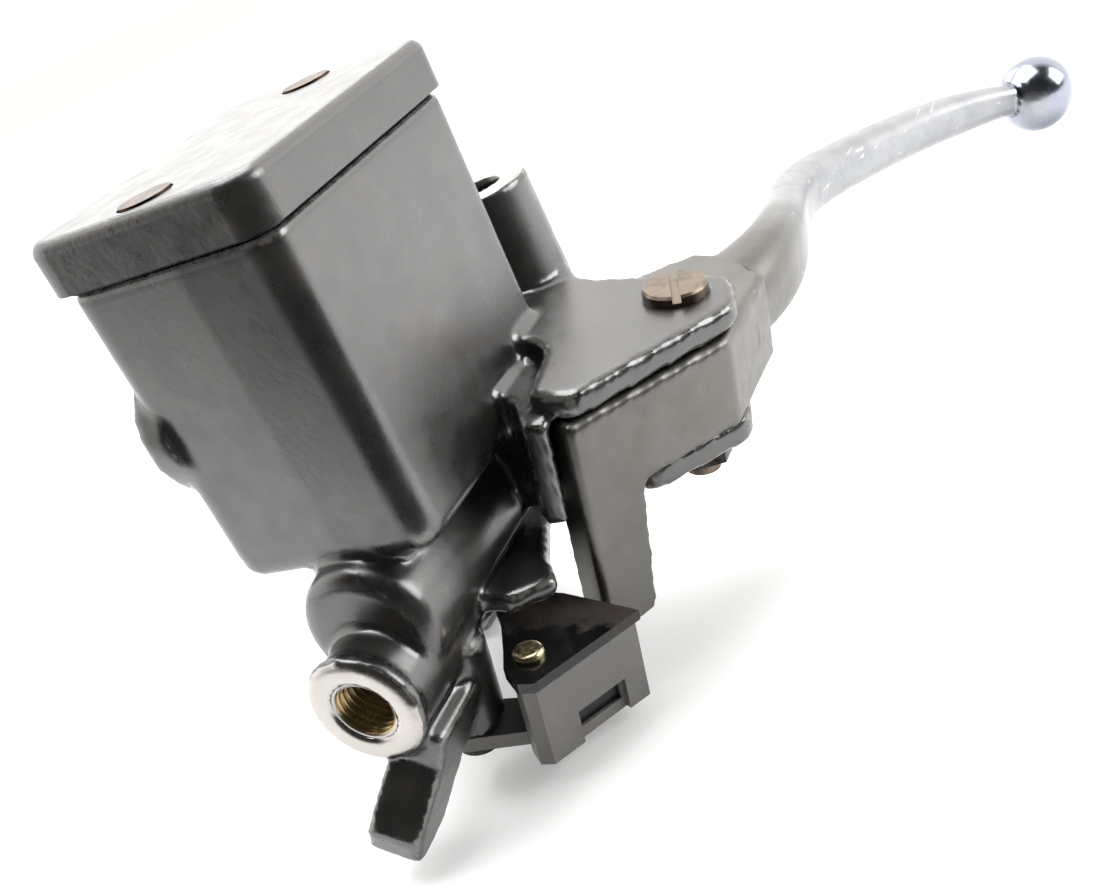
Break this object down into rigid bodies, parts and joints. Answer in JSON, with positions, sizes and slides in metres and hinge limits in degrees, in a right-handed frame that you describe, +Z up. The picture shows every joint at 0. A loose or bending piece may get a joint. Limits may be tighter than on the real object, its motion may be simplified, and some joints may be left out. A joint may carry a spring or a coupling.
{
  "type": "brake master cylinder",
  "caption": "Hydraulic brake master cylinder for a motorcycle handlebar, with its fluid reservoir, ball-ended lever, bar clamp, mirror boss and brake light switch.",
  "frame": {"origin": "middle of the handlebar clamp, on the handlebar's axis", "axes": "+X along the handlebar towards the hose end (the rider's right), +Y forwards, +Z up; the lever's blade runs towards -X"},
  "size_m": [0.2509, 0.1277, 0.1015],
  "materials": {
    "cast_black": "satin",
    "bare_steel": "satin",
    "bronze_steel": "satin",
    "black_steel": "satin",
    "gloss_black_steel": "gloss",
    "lever_alloy": "satin",
    "piston_alloy": "satin",
    "bronze": "satin",
    "brass": "polished",
    "rubber": "matt",
    "grey_plastic": "matt",
    "black_plastic": "matt",
    "clear": "clear",
    "spring_steel": "bright"
  },
  "bodies": {
    "housing": {"master_cylinder_body": "cast_black", "reservoir_cover": "cast_black", "cover_screws": "black_steel", "diaphragm": "rubber", "diaphragm_plate": "black_plastic", "port_cover": "bare_steel", "sight_glass_seal": "rubber", "sight_glass": "clear", "sight_glass_ring": "bare_steel", "clamp_cap": "cast_black", "clamp_bolts": "black_steel", "pivot_screw": "bronze_steel", "pivot_nut": "black_steel", "return_spring": "spring_steel", "piston_washer": "bare_steel", "circlip": "spring_steel", "dust_boot": "rubber", "switch_cover_plate": "gloss_black_steel", "switch_housing": "grey_plastic", "switch_rivet": "brass", "switch_spring": "spring_steel", "switch_contact_block": "black_plastic", "switch_terminals": "brass", "switch_screw": "black_steel"},
    "lever": {"brake_lever": "lever_alloy", "pivot_bush": "bronze"},
    "piston": {"piston": "piston_alloy", "primary_cup": "rubber", "secondary_cup": "rubber"},
    "plunger": {"switch_plunger": "black_plastic"}
  },
  "joints": [
    {"name": "lever_pivot", "type": "hinge", "parent": "housing", "child": "lever", "pos_m": [-0.0025, 0.0649, 0.0169], "axis": [0, 0.2079, 0.9781], "range_deg": [0, 15], "stiffness_Nm_per_rad": 1.5, "springref_deg": -2.86},
    {"name": "piston_slide", "type": "slide", "parent": "housing", "child": "piston", "axis": [1, 0, 0], "range_m": [0, 0.0088], "deforming": ["return_spring", "dust_boot"]},
    {"name": "plunger_slide", "type": "slide", "parent": "housing", "child": "plunger", "axis": [-1, 0, 0], "range_m": [0, 0.0016], "deforming": ["switch_spring"]}
  ],
  "couplings": [
    {"joint": "piston_slide", "follows": "lever_pivot", "m_per_rad": 0.0333},
    {"joint": "plunger_slide", "follows": "lever_pivot", "m_per_rad": 0.00573}
  ]
}
